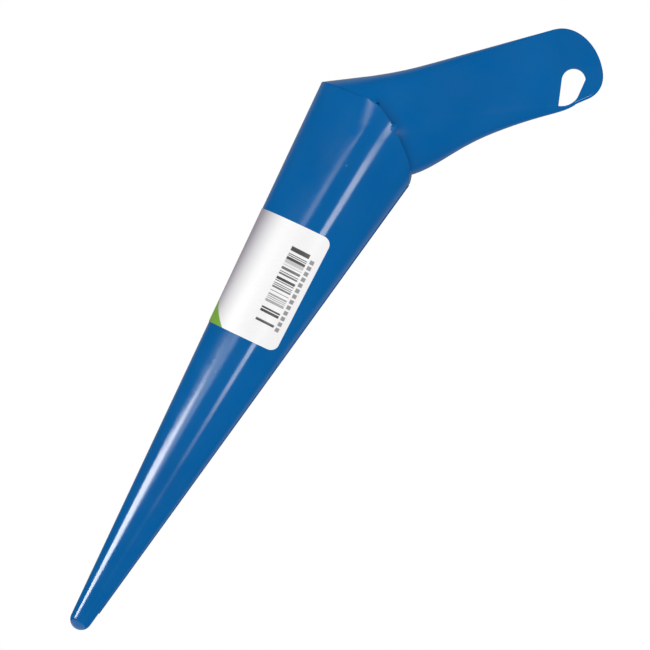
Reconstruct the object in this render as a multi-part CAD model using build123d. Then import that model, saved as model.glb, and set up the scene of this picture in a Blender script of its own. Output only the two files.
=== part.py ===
from build123d import *
import os
from math import asin, atan2, cos, degrees, radians, sin, sqrt, tan

# A garden dibber in painted sheet steel: a rolled cone with a ball tip, and a folded handle that is
# tucked into the cone's mouth and pinched flat at its end. All sizes are in millimetres.
# The origin is the very tip. +Z runs up the spike, +X is the side that the handle bends towards,
# and the XZ plane is the plane of symmetry.

# Sheet, joints and coverings
sheet = 1.2                 # thickness of the steel sheet
seam_width = 1.0            # butt seam down the inner side of the cone, filled with weld
seam_crown = 0.25           # how far the seam weld stands proud
neck_weld_width = 2.0       # band of weld where the handle meets the cone, dressed flush
weld_end = 1.0              # the neck weld stops this far short of the ends of the free rim
slit_relief = 0.4           # relief at each end of the free rim
plug_clearance = 0.05       # radial room round the tip plug's spigot

# Spike
tip_radius = 4.0            # ball end
shoulder_height = 216.0     # height of the outer corner, where the handle bends away
shoulder_radius = 23.85     # outer radius of the cone at that height
plug_length = 9.0           # solid end, from the tip to the edge of the rolled sheet
spigot_length = 9.0         # how far the plug reaches up inside the cone
mouth_rise = 2.5            # the free rim parts from the handle this far above the outer corner
rim_side_drop = 11.4        # the rim starts to turn down beside the seam this far below that point
rim_side_inset = 4.8        # and this far inside the cone's silhouette
rim_bow = 0.9               # how far the rim bows out from a straight line
rim_depth = 18.7            # the rim at the seam, below the point where it parts from the handle

# Handle, measured along its own axis from the mouth (along) and square to that axis (across)
bend_angle = 44.0           # between the spike's axis and the handle's axis
handle_length = 80.9        # mouth to nose
grip_top = 11.2             # straight top edge, across
grip_bottom = -18.2         # straight bottom edge, across
neck_clearance = 1.9        # room between the handle's sides and the inside of the cone's mouth
throat_clearance = 2.75     # the same under the handle, at the seam
shoulder_rise = 1.4         # how much higher the top edge is at the mouth
shoulder_run = 21.0         # length over which that rise fades out
throat_drop = 11.3          # how much the bottom edge would dip towards the mouth
throat_run = 51.0           # length over which that dip fades out
tuck_depth = 5.2            # how far the lower part of the handle reaches into the mouth
slot_width = 1.0            # open seam along the underside of the handle

# Pinched tab at the end of the handle, where the two walls are pressed together
tab_length = 12.9           # also the depth of the rounded nose
nose_rise = 12.7            # furthest point of the nose, above the bottom edge
nose_under = (2.0, 5.1)     # lower corner of the nose, from its end and from the bottom edge
nose_heel = (7.4, 1.8)      # where that corner runs out into the bottom edge
toe_run = 10.0              # length over which the bottom edge starts to rise before the tab
toe_slope = 0.2             # slope of the bottom edge under the tab
crest_half = 0.2            # half the flat left along the pinched edges
press_step = 0.05           # how much the press thins the tab on each side
tab_overlap = 0.5           # length of the tab that lies inside the tapering part
hollow_margin = 1.5         # the hollow ends this far short of the tab
edge_groove = 0.3           # gap between the two pinched layers, seen at their edges
edge_groove_depth = 0.8
fold_depth = 5.2            # the gap ends this far below the top, where the sheet is folded over

# Hanging hole: its round end is placed from the nose and from the bottom edge
hole_from_nose = 11.2
hole_from_bottom = 9.6
hole_corner = (-7.9, -7.6)  # pointed end of the hole, from the centre of its round end

# Tack welds between the free rim and the handle
tack_share = 0.46           # place of each tack along the rim's sloping run, as a share of it
tack_radius = 1.5

# Label round the outer side of the cone
label_thickness = 0.15
label_bottom = 120.6        # height of its lower edge on the outer generator
label_height = 45.0
label_width = 75.2          # measured round the cone
label_top_width = 81.5
label_slope = 0.09         # rise of both edges per millimetre towards +X, from wrapping a cone
label_corner = 3.0

# Cone angle that makes the cone tangent to the ball end and gives the shoulder radius
shoulder_reach = sqrt(shoulder_radius ** 2 + (shoulder_height - tip_radius) ** 2)
half_angle = atan2(shoulder_radius, shoulder_height - tip_radius) - asin(tip_radius / shoulder_reach)

mouth_height = shoulder_height + mouth_rise
rim_low = mouth_height - rim_depth
edge_round = sheet - crest_half
side_top = 2 * slit_relief
tab_start = handle_length - tab_length
nose_level = grip_bottom + nose_rise
reach = 400.0               # size of cutting blocks, larger than the tool


def cone_radius(z, inset=0.0):
    """Outer radius of the cone at a height, or of the surface that far inside it."""
    return shoulder_radius - (shoulder_height - z) * tan(half_angle) - inset / cos(half_angle)


def cone_frustum(z_low, z_high, inset=0.0):
    low = cone_radius(z_low, inset)
    high = cone_radius(z_high, inset)
    with BuildPart() as frustum:
        with BuildSketch(Plane.XZ):
            Polygon((0, z_low), (low, z_low), (high, z_high), (0, z_high), align=None)
        revolve(axis=Axis.Z)
    return frustum.part


def prism(profile):
    """A closed outline in the XZ plane, run through the whole width of the tool."""
    face = make_face(Plane.XZ * profile)
    return extrude(face, amount=reach / 2, both=True)


# Planes through the line that joins the two ends of the free rim. Tilt is measured from the
# horizontal: the mitre plane holds that line and the outer corner, and the handle's own
# cross-sections are tilted by the bend angle. In each plane x is +Y and y points at the shoulder.
mouth_point = Vector(0, 0, mouth_height)
mitre_tilt = degrees(atan2(shoulder_height - mouth_height, shoulder_radius))
handle_dir = Vector(sin(radians(bend_angle)), 0, cos(radians(bend_angle)))


def tilted_plane(tilt, along=0.0):
    normal = Vector(sin(radians(tilt)), 0, cos(radians(tilt)))
    return Plane(origin=mouth_point + handle_dir * along, x_dir=(0, 1, 0), z_dir=normal)


handle_side = Plane(origin=mouth_point, x_dir=handle_dir, z_dir=(0, -1, 0))


neck_half_width = cone_radius(mouth_height, sheet) - neck_clearance
throat_bottom = -(cone_radius(rim_low, sheet) - throat_clearance) / cos(radians(bend_angle))


def fade(along, run):
    return max(0.0, 1.0 - along / run) ** 2


def top_edge(along):
    return grip_top + shoulder_rise * fade(along, shoulder_run)


def bottom_edge(along):
    toe = max(0.0, along - tab_start + toe_run)
    rise = 0.5 * toe_slope * toe ** 2 / toe_run
    return max(throat_bottom, grip_bottom - throat_drop * fade(along, throat_run)) + rise


def half_width(along):
    return neck_half_width + (sheet - neck_half_width) * along / tab_start


def between(along, at_mouth, at_tab):
    return at_mouth + (at_tab - at_mouth) * along / tab_start


def inner_arch(outer_arch, width, inset):
    """Height of a rounded top or bottom, for the sheet's outer face or for the face inside it."""
    return max(outer_arch - inset, min(width / 2, 2 * inset)) if inset else outer_arch


def handle_section(along, inset=0.0):
    """Cross-section with a rounded top, a rounded bottom and straight sides between them."""
    width = half_width(along) - inset
    top = top_edge(along) - inset
    bottom = bottom_edge(along) + inset
    top_arch = inner_arch(between(along, top_edge(0) - side_top, edge_round), width, inset)
    bottom_arch = inner_arch(between(along, -slit_relief - bottom_edge(0), edge_round), width, inset)
    outline = section_outline(width, crest_half, top, top_arch, bottom, bottom_arch)
    return tilted_plane(bend_angle, along) * make_face(outline)


def section_outline(width, flat, top, top_arch, bottom, bottom_arch):
    upper = top - top_arch
    lower = bottom + bottom_arch
    return Curve() + [
        Line((flat, top), (-flat, top)),
        EllipticalCenterArc((-flat, upper), width - flat, top_arch, start_angle=90),
        Line((-width, upper), (-width, lower)),
        EllipticalCenterArc((-flat, lower), width - flat, bottom_arch, start_angle=180),
        Line((-flat, bottom), (flat, bottom)),
        EllipticalCenterArc((flat, lower), width - flat, bottom_arch, start_angle=270),
        Line((width, lower), (width, upper)),
        EllipticalCenterArc((flat, upper), width - flat, top_arch),
    ]


def elbow_section(tilt, inset=0.0):
    """Half section between the mitre plane and the mouth; its top follows the shoulder's straight line."""
    share = (tilt - mitre_tilt) / (bend_angle - mitre_tilt)
    corner = Vector(-shoulder_radius, 0, shoulder_height - mouth_height)
    crown = Vector(-cos(radians(bend_angle)), 0, sin(radians(bend_angle))) * top_edge(0)
    ray = Vector(-cos(radians(tilt)), 0, sin(radians(tilt)))
    chord = crown - corner
    top = corner.cross(chord).Y / ray.cross(chord).Y - inset
    mouth_radius = cone_radius(mouth_height)
    width = mouth_radius + (neck_half_width - mouth_radius) * share - inset
    base = slit_relief / 2 if inset else slit_relief
    arch = top - side_top
    outline = Curve() + [
        Line((-width, side_top), (-width, base)),
        Line((-width, base), (width, base)),
        Line((width, base), (width, side_top)),
        EllipticalCenterArc((crest_half, side_top), width - crest_half, arch),
        Line((crest_half, top), (-crest_half, top)),
        EllipticalCenterArc((-crest_half, side_top), width - crest_half, arch, start_angle=90),
    ]
    return tilted_plane(tilt) * make_face(outline)


def elbow(inset=0.0):
    steps = 4
    tilts = [mitre_tilt + (bend_angle - mitre_tilt) * step / steps for step in range(steps + 1)]
    return loft([elbow_section(tilt, inset) for tilt in tilts])


def handle_solid(stations, inset=0.0):
    return loft([handle_section(along, inset) for along in stations])


def tuck_solid(inset=0.0):
    """The lower half of the handle's first section, run down into the mouth."""
    width = neck_half_width - inset
    lower = -slit_relief
    bottom = bottom_edge(0) + inset
    outline = Curve() + [
        Line((width, lower), (-width, lower)),
        EllipticalCenterArc((-crest_half, lower), width - crest_half, lower - bottom, start_angle=180),
        Line((-crest_half, bottom), (crest_half, bottom)),
        EllipticalCenterArc((crest_half, lower), width - crest_half, lower - bottom, start_angle=270),
    ]
    return extrude(tilted_plane(bend_angle) * make_face(outline), amount=-tuck_depth)


def tab_outline(root, inset):
    """Side outline of the pinched tab, from a station before it and a margin inside its edges."""
    low_start = (root, bottom_edge(tab_start) + inset)
    high_start = (root, top_edge(tab_start) - inset)
    high_turn = (tab_start, high_start[1])
    nose_tip = (handle_length - inset, nose_level)
    under = (handle_length - nose_under[0] - 0.7 * inset, grip_bottom + nose_under[1] + 0.7 * inset)
    heel = (handle_length - nose_heel[0], grip_bottom + nose_heel[1] + inset)
    return make_face(Curve() + [
        Line(low_start, high_start),
        Line(high_start, high_turn),
        EllipticalCenterArc((tab_start, nose_level), tab_length - inset, high_turn[1] - nose_level),
        Spline(nose_tip, under, heel, tangents=[(0, -1), (-1, -toe_slope)]),
        Line(heel, low_start),
    ])


def pinched_tab():
    """The two walls pressed together, with the rounded nose."""
    root = tab_start - tab_overlap
    plate = extrude(tab_outline(root, press_step), amount=sheet - press_step, both=True)
    flat_edges = [edge for edge in plate.edges() if abs(edge.center().Z) > sheet / 2]
    rim_edges = [edge for edge in flat_edges if edge.bounding_box().max.X > root + tab_overlap / 2]
    return handle_side * fillet(rim_edges, edge_round)


def hanging_hole():
    """Cutter for the hanging hole: a round end that runs out into a point."""
    left = (-4.1, 1.4)
    right = (4.2, -0.9)
    low = (-0.4, -6.4)
    outline = Curve() + [
        Line(hole_corner, left),
        ThreePointArc(left, (0.6, 4.26), right),
        Line(right, low),
        ThreePointArc(low, (-3.4, -7.95), hole_corner),
    ]
    spot = Location((handle_length - hole_from_nose, grip_bottom + hole_from_bottom, 0))
    return extrude(handle_side * spot * make_face(outline), amount=reach / 4, both=True)


def edge_groove_cutter():
    """Thin gap between the two pinched layers, open along the bottom edge and round the nose."""
    core = tab_outline(tab_start - tab_overlap, edge_groove_depth)
    size = Vector(2 * tab_length, 2 * (grip_top - grip_bottom))
    low_corner = Pos(tab_start - tab_overlap, grip_top - fold_depth)
    band = low_corner * Rectangle(size.X, size.Y, align=(Align.MIN, Align.MAX))
    return extrude(handle_side * (band - core), amount=edge_groove / 2, both=True)


def underside_slot():
    start = -tuck_depth - 1
    centre = handle_side * Location(((start + tab_start) / 2, bottom_edge(0), 0))
    return centre * Box(tab_start - start, 2 * (bottom_edge(tab_start) - bottom_edge(0) + 1), slot_width)


def mitre_height(x):
    """Height of the mitre plane, which holds the outer corner and both ends of the free rim."""
    return mouth_height + (mouth_height - shoulder_height) * x / shoulder_radius


def mitre_band(low, high):
    """Block between two planes parallel to the mitre plane, on the outer side of the tool."""
    return prism(Polyline(
        (-weld_end, mitre_height(-weld_end) + low),
        (-weld_end, mitre_height(-weld_end) + high),
        (-reach / 4, mitre_height(-reach / 4) + high),
        (-reach / 4, mitre_height(-reach / 4) + low),
        close=True,
    ))


def free_rim():
    """The free rim as seen from the side: a bowed run down from the mouth, then a turn to the seam."""
    start = Vector(0, mouth_height - slit_relief)
    side_height = mouth_height - rim_side_drop
    side = Vector(cone_radius(side_height) - rim_side_inset, side_height)
    run = side - start
    middle = start + run / 2 + Vector(-run.Y, run.X).normalized() * rim_bow
    slope = ThreePointArc(start, middle, side)
    return slope, TangentArc(side, (cone_radius(rim_low), rim_low), tangent=slope % 1)


def below_mouth():
    """Everything that the cone's sheet may fill: below the neck weld, and below the free rim."""
    slope, turn = free_rim()
    edge_x = cone_radius(rim_low)
    return prism(Curve() + [
        slope,
        turn,
        Polyline(
            (edge_x, rim_low), (reach / 4, rim_low), (reach / 4, -reach / 4), (-reach / 4, -reach / 4),
            (-reach / 4, mitre_height(-reach / 4)), (-weld_end, mitre_height(-weld_end)),
            (-weld_end, mouth_height - slit_relief), (0, mouth_height - slit_relief),
        ),
    ])


def tip_plug():
    contact = tip_radius * (1 - sin(half_angle))
    contact_radius = tip_radius * cos(half_angle)
    middle = radians(45) + half_angle / 2
    middle_point = (tip_radius * sin(middle), tip_radius * (1 - cos(middle)))
    spigot_inset = sheet + plug_clearance
    top = plug_length + spigot_length
    outline = Curve() + [
        ThreePointArc((0, 0), middle_point, (contact_radius, contact)),
        Polyline(
            (contact_radius, contact), (cone_radius(plug_length), plug_length),
            (cone_radius(plug_length, spigot_inset), plug_length), (cone_radius(top, spigot_inset), top),
            (0, top), (0, 0),
        ),
    ]
    return revolve(Plane.XZ * make_face(outline), axis=Axis.Z)


def seam_box():
    return Pos(reach / 4, 0, mouth_height / 2) * Box(reach / 2, seam_width, 2 * mouth_height)


def label_side(height, width):
    """Where the label's side edge is, at the height where its edge leaves the outer generator."""
    x = -cone_radius(height) * cos(width / 2 / cone_radius(height))
    return x, height + label_slope * (x + cone_radius(height))


def label_back(height):
    """A point outside the cone on the line of a label edge, on the outer side."""
    x = -2 * cone_radius(height)
    return x, height + label_slope * (x + cone_radius(height))


def label():
    top = label_bottom + label_height
    low_end = label_bottom - label_height / 2
    high_end = top + label_height / 2
    skin = cone_frustum(low_end, high_end, -label_thickness) - cone_frustum(low_end - 1, high_end + 1)
    low_edge = (label_back(label_bottom), label_side(label_bottom, label_width))
    area = make_face(Polyline(*low_edge, label_side(top, label_top_width), label_back(top), close=True))
    side_corners = [corner for corner in area.vertices() if corner.X > 0]
    return skin & extrude(Plane.XZ * fillet(side_corners, label_corner), amount=reach / 2, both=True)


# Whole outer and inner forms of the handle, before it is parted from the weld
handle_stations = [share * tab_start for share in (0, 0.09, 0.21, 0.36, 0.53, 0.73, 0.88, 1)]
hollow_stations = handle_stations[:-1] + [tab_start - hollow_margin]
handle_outer = handle_solid(handle_stations) + elbow() + tuck_solid() + pinched_tab()
handle_hollow = handle_solid(hollow_stations, sheet) + elbow(sheet) + tuck_solid(sheet)
handle_form = handle_outer - handle_hollow - hanging_hole() - underside_slot() - edge_groove_cutter()

cone_top = mouth_height + sheet
cone_form = cone_frustum(plug_length, cone_top) - cone_frustum(plug_length - 1, cone_top + 1, sheet)

weld_band = mitre_band(0, neck_weld_width)
handle_shell = handle_form - weld_band
neck_weld = handle_form & weld_band

seam_bead = cone_frustum(plug_length, rim_low, -seam_crown) - cone_frustum(0, mouth_height, sheet)
spike_cone = (cone_form & below_mouth()) - seam_box()
seam_weld = seam_bead & seam_box()

rim_slope, rim_turn = free_rim()
tack_spot = rim_slope @ tack_share
tack_y = sqrt(cone_radius(tack_spot.Y, sheet / 2) ** 2 - tack_spot.X ** 2)
tack_ball = Pos(tack_spot.X, -tack_y, tack_spot.Y) * Sphere(tack_radius)
near_tack = tack_ball - handle_outer - spike_cone
rim_tacks = [near_tack, mirror(near_tack, about=Plane.XZ)]

nodes = {
    "spike_cone": spike_cone,
    "tip_plug": tip_plug(),
    "seam_weld": seam_weld,
    "handle_shell": handle_shell,
    "neck_weld": neck_weld,
    "rim_tacks": Compound(rim_tacks),
    "label": label(),
}

os.makedirs("parts", exist_ok=True)
for node_name, shape in nodes.items():
    export_step(shape, f"parts/{node_name}.step")
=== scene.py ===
import math

import bpy
from mathutils import Matrix, Vector

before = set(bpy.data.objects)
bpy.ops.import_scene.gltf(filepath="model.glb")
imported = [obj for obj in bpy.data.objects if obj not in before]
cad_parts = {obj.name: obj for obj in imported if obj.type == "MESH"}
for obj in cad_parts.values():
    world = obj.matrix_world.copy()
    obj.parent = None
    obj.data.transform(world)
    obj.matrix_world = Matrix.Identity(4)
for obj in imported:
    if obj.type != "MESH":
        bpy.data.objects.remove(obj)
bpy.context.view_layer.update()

MM = 0.001

# Camera: level, turned a little towards the handle's side and rolled, so the spike leans right.
VIEW_TURN = math.radians(4.0)
SPIKE_LEAN = math.radians(30.55)
VIEW_CENTRE = Vector((22.0, 0.0, 140.8)) * MM
VIEW_WIDTH = 235.5 * MM
LENS = 200.0
SENSOR = 36.0

# Directions in the picture, across and up: along the spike and square to it.
ALONG_SPIKE = (math.sin(SPIKE_LEAN), math.cos(SPIKE_LEAN))
ACROSS_SPIKE = (math.cos(SPIKE_LEAN), -math.sin(SPIKE_LEAN))

# World: strength seen in reflections, by how far a direction points behind the object.
BEHIND_FROM = 0.55
BEHIND_FULL = 0.97
FRONT_STRENGTH = 0.01
BEHIND_STRENGTH = 0.22

# Lights, in metres in the picture's directions. The left strip's runs go from near to far, each with
# its two ends in front of the object and its radiance.
LEFT_SIDE = -0.62
LEFT_UP = 0.075
LEFT_WIDTH = 0.13
LEFT_RUNS = (
    ("left_strip_near", 0.14, 0.50, 19.0),
    ("left_strip_mid", 0.50, 0.62, 8.0),
    ("left_strip_far", 0.62, 3.4, 3.4),
)
BOX_ACROSS = 0.49
BOX_ALONG = -0.18
BOX_IN_FRONT = 1.0
BOX_LENGTH = 0.22
BOX_WIDTH = 0.23
BOX_RADIANCE = 8.5

FLOOR_DROP = -300.0 * MM
FLOOR_RADIUS = 450.0 * MM
FLOOR_SIDES = 96
FLOOR_GREYS = (0.78, 0.84)
FLOOR_CLOUD_SCALE = 9.0
FLOOR_ROUGHNESS = 0.9

# Paint: noise scales are per metre.
PAINTED = ("spike_cone", "tip_plug", "seam_weld", "handle_shell", "neck_weld", "rim_tacks")
PAINT = (0.0005, 0.125, 0.385, 1.0)
PAINT_DEEP = (0.0005, 0.110, 0.350, 1.0)
SCUFF = (0.33, 0.47, 0.62, 1.0)
CLOUD_SCALE = 22.0
SPECK_SCALE = 620.0
SPECK_STRETCH = (1.0, 1.0, 0.45)
WEAR_PATCH_SCALE = 34.0
WEAR_STRENGTH = 0.5
PEEL_SCALE = 260.0
PEEL_DEPTH = 0.00002
PEEL_STRENGTH = 0.35
WAVE_SCALE = 34.0
WAVE_DEPTH = 0.0002
WAVE_STRENGTH = 0.22
GLOSS_SCALE = 90.0
PAINT_ROUGHNESS = (0.10, 0.17)
PAINT_IOR = 1.5

# Label: millimetres round the spike from the line that faces the camera, and up.
BAR_TOP = 159.4
BAR_BOTTOM = 130.0
BAR_LEFT = -2.5
BAR_LENGTH = 7.4
BAR_STEP = 0.33
BAR_GROUP = BAR_STEP * 9
BAR_SEED = 41.0
GROUP_SEED = 5.0
FAINTEST_BAR = 0.35
BAR_INK = 0.95
PRINT_TILT = 0.061
TICK_LEFT = 8.3
TICK_LENGTH = 1.7
TICK_STEP = 2.26
TICK_DROP = 1.0
TICK_INK = 0.8
GREEN_START = -9.9
GREEN_RISE = 0.673
GREEN_FOOT = 121.0
GREEN_TOP = 133.0
# Painted shade on the label: grey-mauve starts here and is full here, towards the left edge that wraps away
# from the camera.
PAINTED_SHADE_FROM = -9.0
PAINTED_SHADE_FULL = -25.0
FIBRE_SCALE = 900.0
FIBRE_STRETCH = (1.0, 1.0, 2.4)
FIBRE_DEPTH = 0.00002
FIBRE_STRENGTH = 0.5
FIBRE_SHADE = 0.08
PAPER_ROUGHNESS = (0.33, 0.42)
PAPER_WHITE = (0.97, 0.965, 0.97, 1.0)
# Grey-mauve colour of the painted shade at the label's left end.
PAPER_PAINTED_SHADE = (0.37, 0.335, 0.39, 1.0)
PRINT_GREEN = (0.19, 0.43, 0.021, 1.0)
PRINT_BLACK = (0.02, 0.02, 0.022, 1.0)
PRINT_GREY = (0.16, 0.155, 0.165, 1.0)
FIBRE_GREY = 0.55

level = Vector((math.cos(VIEW_TURN), math.sin(VIEW_TURN), 0.0))
upright = Vector((0.0, 0.0, 1.0))
RIGHT = level * math.cos(SPIKE_LEAN) + upright * math.sin(SPIKE_LEAN)
UP = upright * math.cos(SPIKE_LEAN) - level * math.sin(SPIKE_LEAN)
BACK = RIGHT.cross(UP)
SPIKE_AXIS = RIGHT * ALONG_SPIKE[0] + UP * ALONG_SPIKE[1]


def in_view(right, up, back):
    """The point that lies so many metres right, up and nearer, seen in the picture."""
    return VIEW_CENTRE + RIGHT * right + UP * up + BACK * back


def facing(place, side, out):
    """A turn and place whose X runs along side and whose Z looks along out."""
    z = out.normalized()
    y = z.cross(side).normalized()
    x = y.cross(z)
    return Matrix.Translation(place) @ Matrix((x, y, z)).transposed().to_4x4()


def grey(value):
    return (value, value, value, 1.0)


class Nodes:
    """Short calls for building one node tree."""

    def __init__(self, tree):
        self.tree = tree
        tree.nodes.clear()

    def add(self, kind, **settings):
        node = self.tree.nodes.new(kind)
        for key, value in settings.items():
            setattr(node, key, value)
        return node

    def link(self, source, target):
        self.tree.links.new(source, target)

    def feed(self, socket, value):
        if isinstance(value, bpy.types.NodeSocket):
            self.link(value, socket)
        else:
            socket.default_value = value

    def math(self, operation, *values):
        node = self.add("ShaderNodeMath", operation=operation)
        for socket, value in zip(node.inputs, values):
            self.feed(socket, value)
        return node.outputs[0]

    def ramp(self, value, low, high, to_low=0.0, to_high=1.0, smooth=False):
        kind = "SMOOTHSTEP" if smooth else "LINEAR"
        node = self.add("ShaderNodeMapRange", interpolation_type=kind, clamp=True)
        for socket, number in zip(node.inputs, (value, low, high, to_low, to_high)):
            self.feed(socket, number)
        return node.outputs[0]

    def mix(self, factor, first, second):
        node = self.add("ShaderNodeMix", data_type="RGBA")
        self.feed(node.inputs[0], factor)
        self.feed(node.inputs[6], first)
        self.feed(node.inputs[7], second)
        return node.outputs[2]

    def noise(self, where, scale, detail=2.0, roughness=0.5):
        node = self.add("ShaderNodeTexNoise")
        self.link(where, node.inputs["Vector"])
        node.inputs["Scale"].default_value = scale
        node.inputs["Detail"].default_value = detail
        node.inputs["Roughness"].default_value = roughness
        return node.outputs["Fac"]

    def where(self):
        """The object's own coordinates, in metres."""
        return self.add("ShaderNodeTexCoord").outputs["Object"]

    def apart(self, vector):
        node = self.add("ShaderNodeSeparateXYZ")
        self.link(vector, node.inputs[0])
        return node.outputs[0], node.outputs[1], node.outputs[2]

    def stretched(self, where, scale):
        node = self.add("ShaderNodeMapping")
        self.link(where, node.inputs["Vector"])
        node.inputs["Scale"].default_value = scale
        return node.outputs[0]

    def bump(self, height, distance, strength, under=None):
        node = self.add("ShaderNodeBump")
        self.link(height, node.inputs["Height"])
        node.inputs["Distance"].default_value = distance
        node.inputs["Strength"].default_value = strength
        if under:
            self.link(under, node.inputs["Normal"])
        return node.outputs[0]

    def within(self, value, low, high, soft=0.12):
        """1 between the two values, 0 outside them, with a slightly soft edge."""
        rise = self.ramp(value, low - soft, low + soft)
        fall = self.ramp(value, high - soft, high + soft, 1.0, 0.0)
        return self.math("MULTIPLY", rise, fall)

    def chance(self, value, step, seed):
        """A random number for each step along the value."""
        cell = self.math("FLOOR", self.math("DIVIDE", value, step))
        node = self.add("ShaderNodeTexWhiteNoise", noise_dimensions="1D")
        self.link(self.math("ADD", cell, seed), node.inputs["W"])
        return node.outputs["Value"]

    def surface(self, **values):
        """A Principled shader joined to the output, with its sockets set by name."""
        shader = self.add("ShaderNodeBsdfPrincipled")
        output = self.add("ShaderNodeOutputMaterial")
        self.link(shader.outputs[0], output.inputs[0])
        for key, value in values.items():
            self.feed(shader.inputs[key.replace("_", " ")], value)


def material(name):
    made = bpy.data.materials.new(name)
    made.use_nodes = True
    return made, Nodes(made.node_tree)


def give(mesh, look):
    mesh.materials.clear()
    mesh.materials.append(look)


def area_light(name, place, along, aim, length, width, radiance):
    """A soft box: length along one direction, facing its aim, seen in reflections only."""
    data = bpy.data.lights.new(name, "AREA")
    data.shape = "RECTANGLE"
    data.size = length
    data.size_y = width
    data.energy = radiance * math.pi * length * width
    lamp = bpy.data.objects.new(name, data)
    lamp.matrix_world = facing(place, along, place - aim)
    lamp.visible_camera = False
    lamp.visible_diffuse = False
    bpy.context.scene.collection.objects.link(lamp)


def add_camera():
    data = bpy.data.cameras.new("camera")
    data.lens = LENS
    data.sensor_width = SENSOR
    camera = bpy.data.objects.new("camera", data)
    camera.matrix_world = facing(in_view(0.0, 0.0, VIEW_WIDTH * LENS / SENSOR), RIGHT, BACK)
    bpy.context.scene.collection.objects.link(camera)
    bpy.context.scene.camera = camera
    bpy.context.scene.view_settings.view_transform = "Standard"


def add_world():
    """White to the camera and to soft light, dark in reflections except from behind the object."""
    world = bpy.data.worlds.new("studio")
    bpy.context.scene.world = world
    world.use_nodes = True
    world.cycles.sampling_method = "NONE"
    n = Nodes(world.node_tree)
    mirrored = n.add("ShaderNodeLightPath").outputs["Is Glossy Ray"]
    depth = n.apart(n.add("ShaderNodeTexCoord").outputs["Generated"])[1]
    behind = n.ramp(depth, BEHIND_FROM, BEHIND_FULL, FRONT_STRENGTH, BEHIND_STRENGTH, smooth=True)
    seen = n.math("MULTIPLY", mirrored, behind)
    background = n.add("ShaderNodeBackground")
    n.link(n.math("ADD", seen, n.math("SUBTRACT", 1.0, mirrored)), background.inputs["Strength"])
    background.inputs["Color"].default_value = grey(1.0)
    n.link(background.outputs[0], n.add("ShaderNodeOutputWorld").inputs[0])


def add_lights():
    for name, near, far, radiance in LEFT_RUNS:
        middle = (near + far) / 2
        place = in_view(LEFT_SIDE, LEFT_UP, middle)
        area_light(name, place, BACK, in_view(0.0, 0.0, middle), far - near, LEFT_WIDTH, radiance)
    right = ACROSS_SPIKE[0] * BOX_ACROSS + ALONG_SPIKE[0] * BOX_ALONG
    up = ACROSS_SPIKE[1] * BOX_ACROSS + ALONG_SPIKE[1] * BOX_ALONG
    place = in_view(right, up, BOX_IN_FRONT)
    area_light("low_box", place, SPIKE_AXIS, VIEW_CENTRE, BOX_LENGTH, BOX_WIDTH, BOX_RADIANCE)


def add_floor():
    turns = [2 * math.pi * i / FLOOR_SIDES for i in range(FLOOR_SIDES)]
    rim = [(FLOOR_RADIUS * math.cos(t), FLOOR_RADIUS * math.sin(t), FLOOR_DROP) for t in turns]
    mesh = bpy.data.meshes.new("floor")
    mesh.from_pydata(rim, [], [tuple(range(FLOOR_SIDES))])
    floor = bpy.data.objects.new("floor", mesh)
    bpy.context.scene.collection.objects.link(floor)
    look, n = material("pale_floor")
    cloud = n.noise(n.where(), FLOOR_CLOUD_SCALE)
    n.surface(Base_Color=n.mix(cloud, grey(FLOOR_GREYS[0]), grey(FLOOR_GREYS[1])), Roughness=FLOOR_ROUGHNESS)
    mesh.materials.append(look)


def gloss_paint():
    """Blue gloss paint with faint clouds, light specks in worn patches and orange peel."""
    look, n = material("blue_gloss_paint")
    where = n.where()
    cloud = n.noise(where, CLOUD_SCALE, detail=3.0)
    colour = n.mix(n.ramp(cloud, 0.35, 0.65), PAINT_DEEP, PAINT)
    specks = n.noise(n.stretched(where, SPECK_STRETCH), SPECK_SCALE, detail=4.0, roughness=0.65)
    patches = n.noise(where, WEAR_PATCH_SCALE)
    worn = n.math("MULTIPLY", n.ramp(specks, 0.70, 0.76), n.ramp(patches, 0.52, 0.64))
    colour = n.mix(n.math("MULTIPLY", worn, WEAR_STRENGTH), colour, SCUFF)
    peel = n.bump(n.noise(where, PEEL_SCALE, detail=1.0), PEEL_DEPTH, PEEL_STRENGTH)
    waves = n.bump(n.noise(where, WAVE_SCALE, detail=1.0), WAVE_DEPTH, WAVE_STRENGTH, under=peel)
    rough = n.ramp(n.noise(where, GLOSS_SCALE, detail=4.0), 0.3, 0.7, *PAINT_ROUGHNESS)
    n.surface(Base_Color=colour, Roughness=rough, Normal=waves, IOR=PAINT_IOR)
    return look


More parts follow.
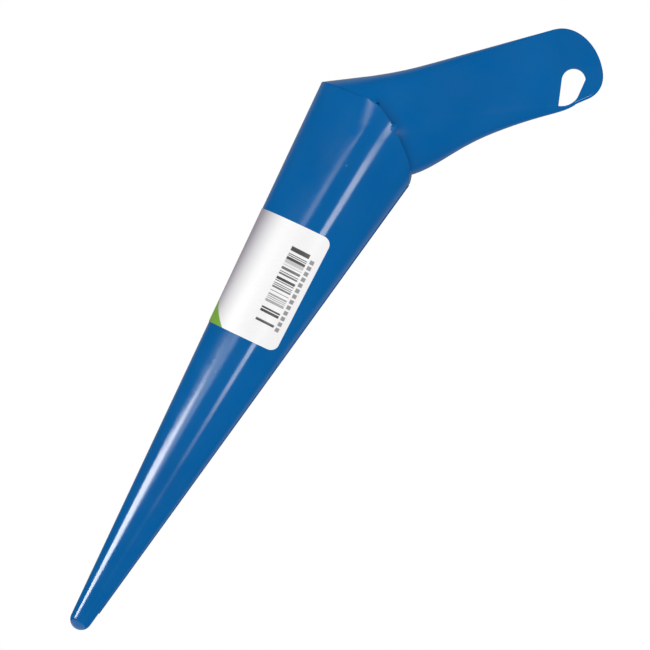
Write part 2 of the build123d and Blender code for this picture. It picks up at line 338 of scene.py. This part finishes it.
def label_print():
    """White paper with generic bars and squares, a green corner and grey-mauve painted shade towards the
    left end.
    """
    look, n = material("paper_label")
    where = n.where()
    x, y, z = n.apart(where)
    radius = n.math("SQRT", n.math("ADD", n.math("MULTIPLY", x, x), n.math("MULTIPLY", y, y)))
    angle = n.math("SUBTRACT", n.math("ARCTAN2", x, n.math("MULTIPLY", y, -1.0)), VIEW_TURN)
    around = n.math("MULTIPLY", n.math("MULTIPLY", radius, angle), 1.0 / MM)
    height = n.math("MULTIPLY", z, 1.0 / MM)
    shift = n.math("MULTIPLY", n.math("SUBTRACT", BAR_TOP, height), PRINT_TILT)
    column = n.math("SUBTRACT", n.math("SUBTRACT", around, BAR_LEFT), shift)
    line = n.math("SUBTRACT", height, n.math("MULTIPLY", around, PRINT_TILT))

    bar_columns = n.within(column, 0.0, BAR_LENGTH)
    bars = n.math("MULTIPLY", bar_columns, n.within(line, BAR_BOTTOM, BAR_TOP))
    bars = n.math("MULTIPLY", bars, n.ramp(n.chance(line, BAR_STEP, BAR_SEED), 0.5, 0.52))
    ink = n.ramp(n.chance(line, BAR_GROUP, GROUP_SEED), 0.0, 0.5, FAINTEST_BAR, 1.0)
    bars = n.math("MULTIPLY", bars, ink)

    tick_columns = n.within(column, TICK_LEFT, TICK_LEFT + TICK_LENGTH)
    ticks = n.math("MULTIPLY", tick_columns, n.within(line, BAR_BOTTOM - TICK_DROP, BAR_TOP - TICK_DROP))
    ticks = n.math("MULTIPLY", ticks, n.ramp(n.math("PINGPONG", line, TICK_STEP / 2), 0.28, 0.46))

    rise = n.math("MULTIPLY", n.math("SUBTRACT", GREEN_START, around), GREEN_RISE)
    green_edge = n.math("MINIMUM", n.math("ADD", rise, GREEN_FOOT), GREEN_TOP)
    green = n.ramp(n.math("SUBTRACT", green_edge, height), -0.1, 0.1)

    fibres = n.noise(n.stretched(where, FIBRE_STRETCH), FIBRE_SCALE, detail=4.0, roughness=0.6)
    # Painted shade: the paper turns grey-mauve towards the left, where it wraps away from the camera.
    colour = n.mix(n.ramp(around, PAINTED_SHADE_FROM, PAINTED_SHADE_FULL, smooth=True), PAPER_WHITE, PAPER_PAINTED_SHADE)
    colour = n.mix(green, colour, PRINT_GREEN)
    colour = n.mix(n.math("MULTIPLY", ticks, TICK_INK), colour, PRINT_GREY)
    colour = n.mix(n.math("MULTIPLY", bars, BAR_INK), colour, PRINT_BLACK)
    colour = n.mix(n.ramp(fibres, 0.35, 0.75, 0.0, FIBRE_SHADE), colour, grey(FIBRE_GREY))
    rough = n.ramp(fibres, 0.3, 0.7, *PAPER_ROUGHNESS)
    n.surface(Base_Color=colour, Roughness=rough, Normal=n.bump(fibres, FIBRE_DEPTH, FIBRE_STRENGTH))
    return look


add_camera()
add_world()
add_lights()
add_floor()
painted = gloss_paint()
for name in PAINTED:
    give(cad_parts[name].data, painted)
give(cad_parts["label"].data, label_print())
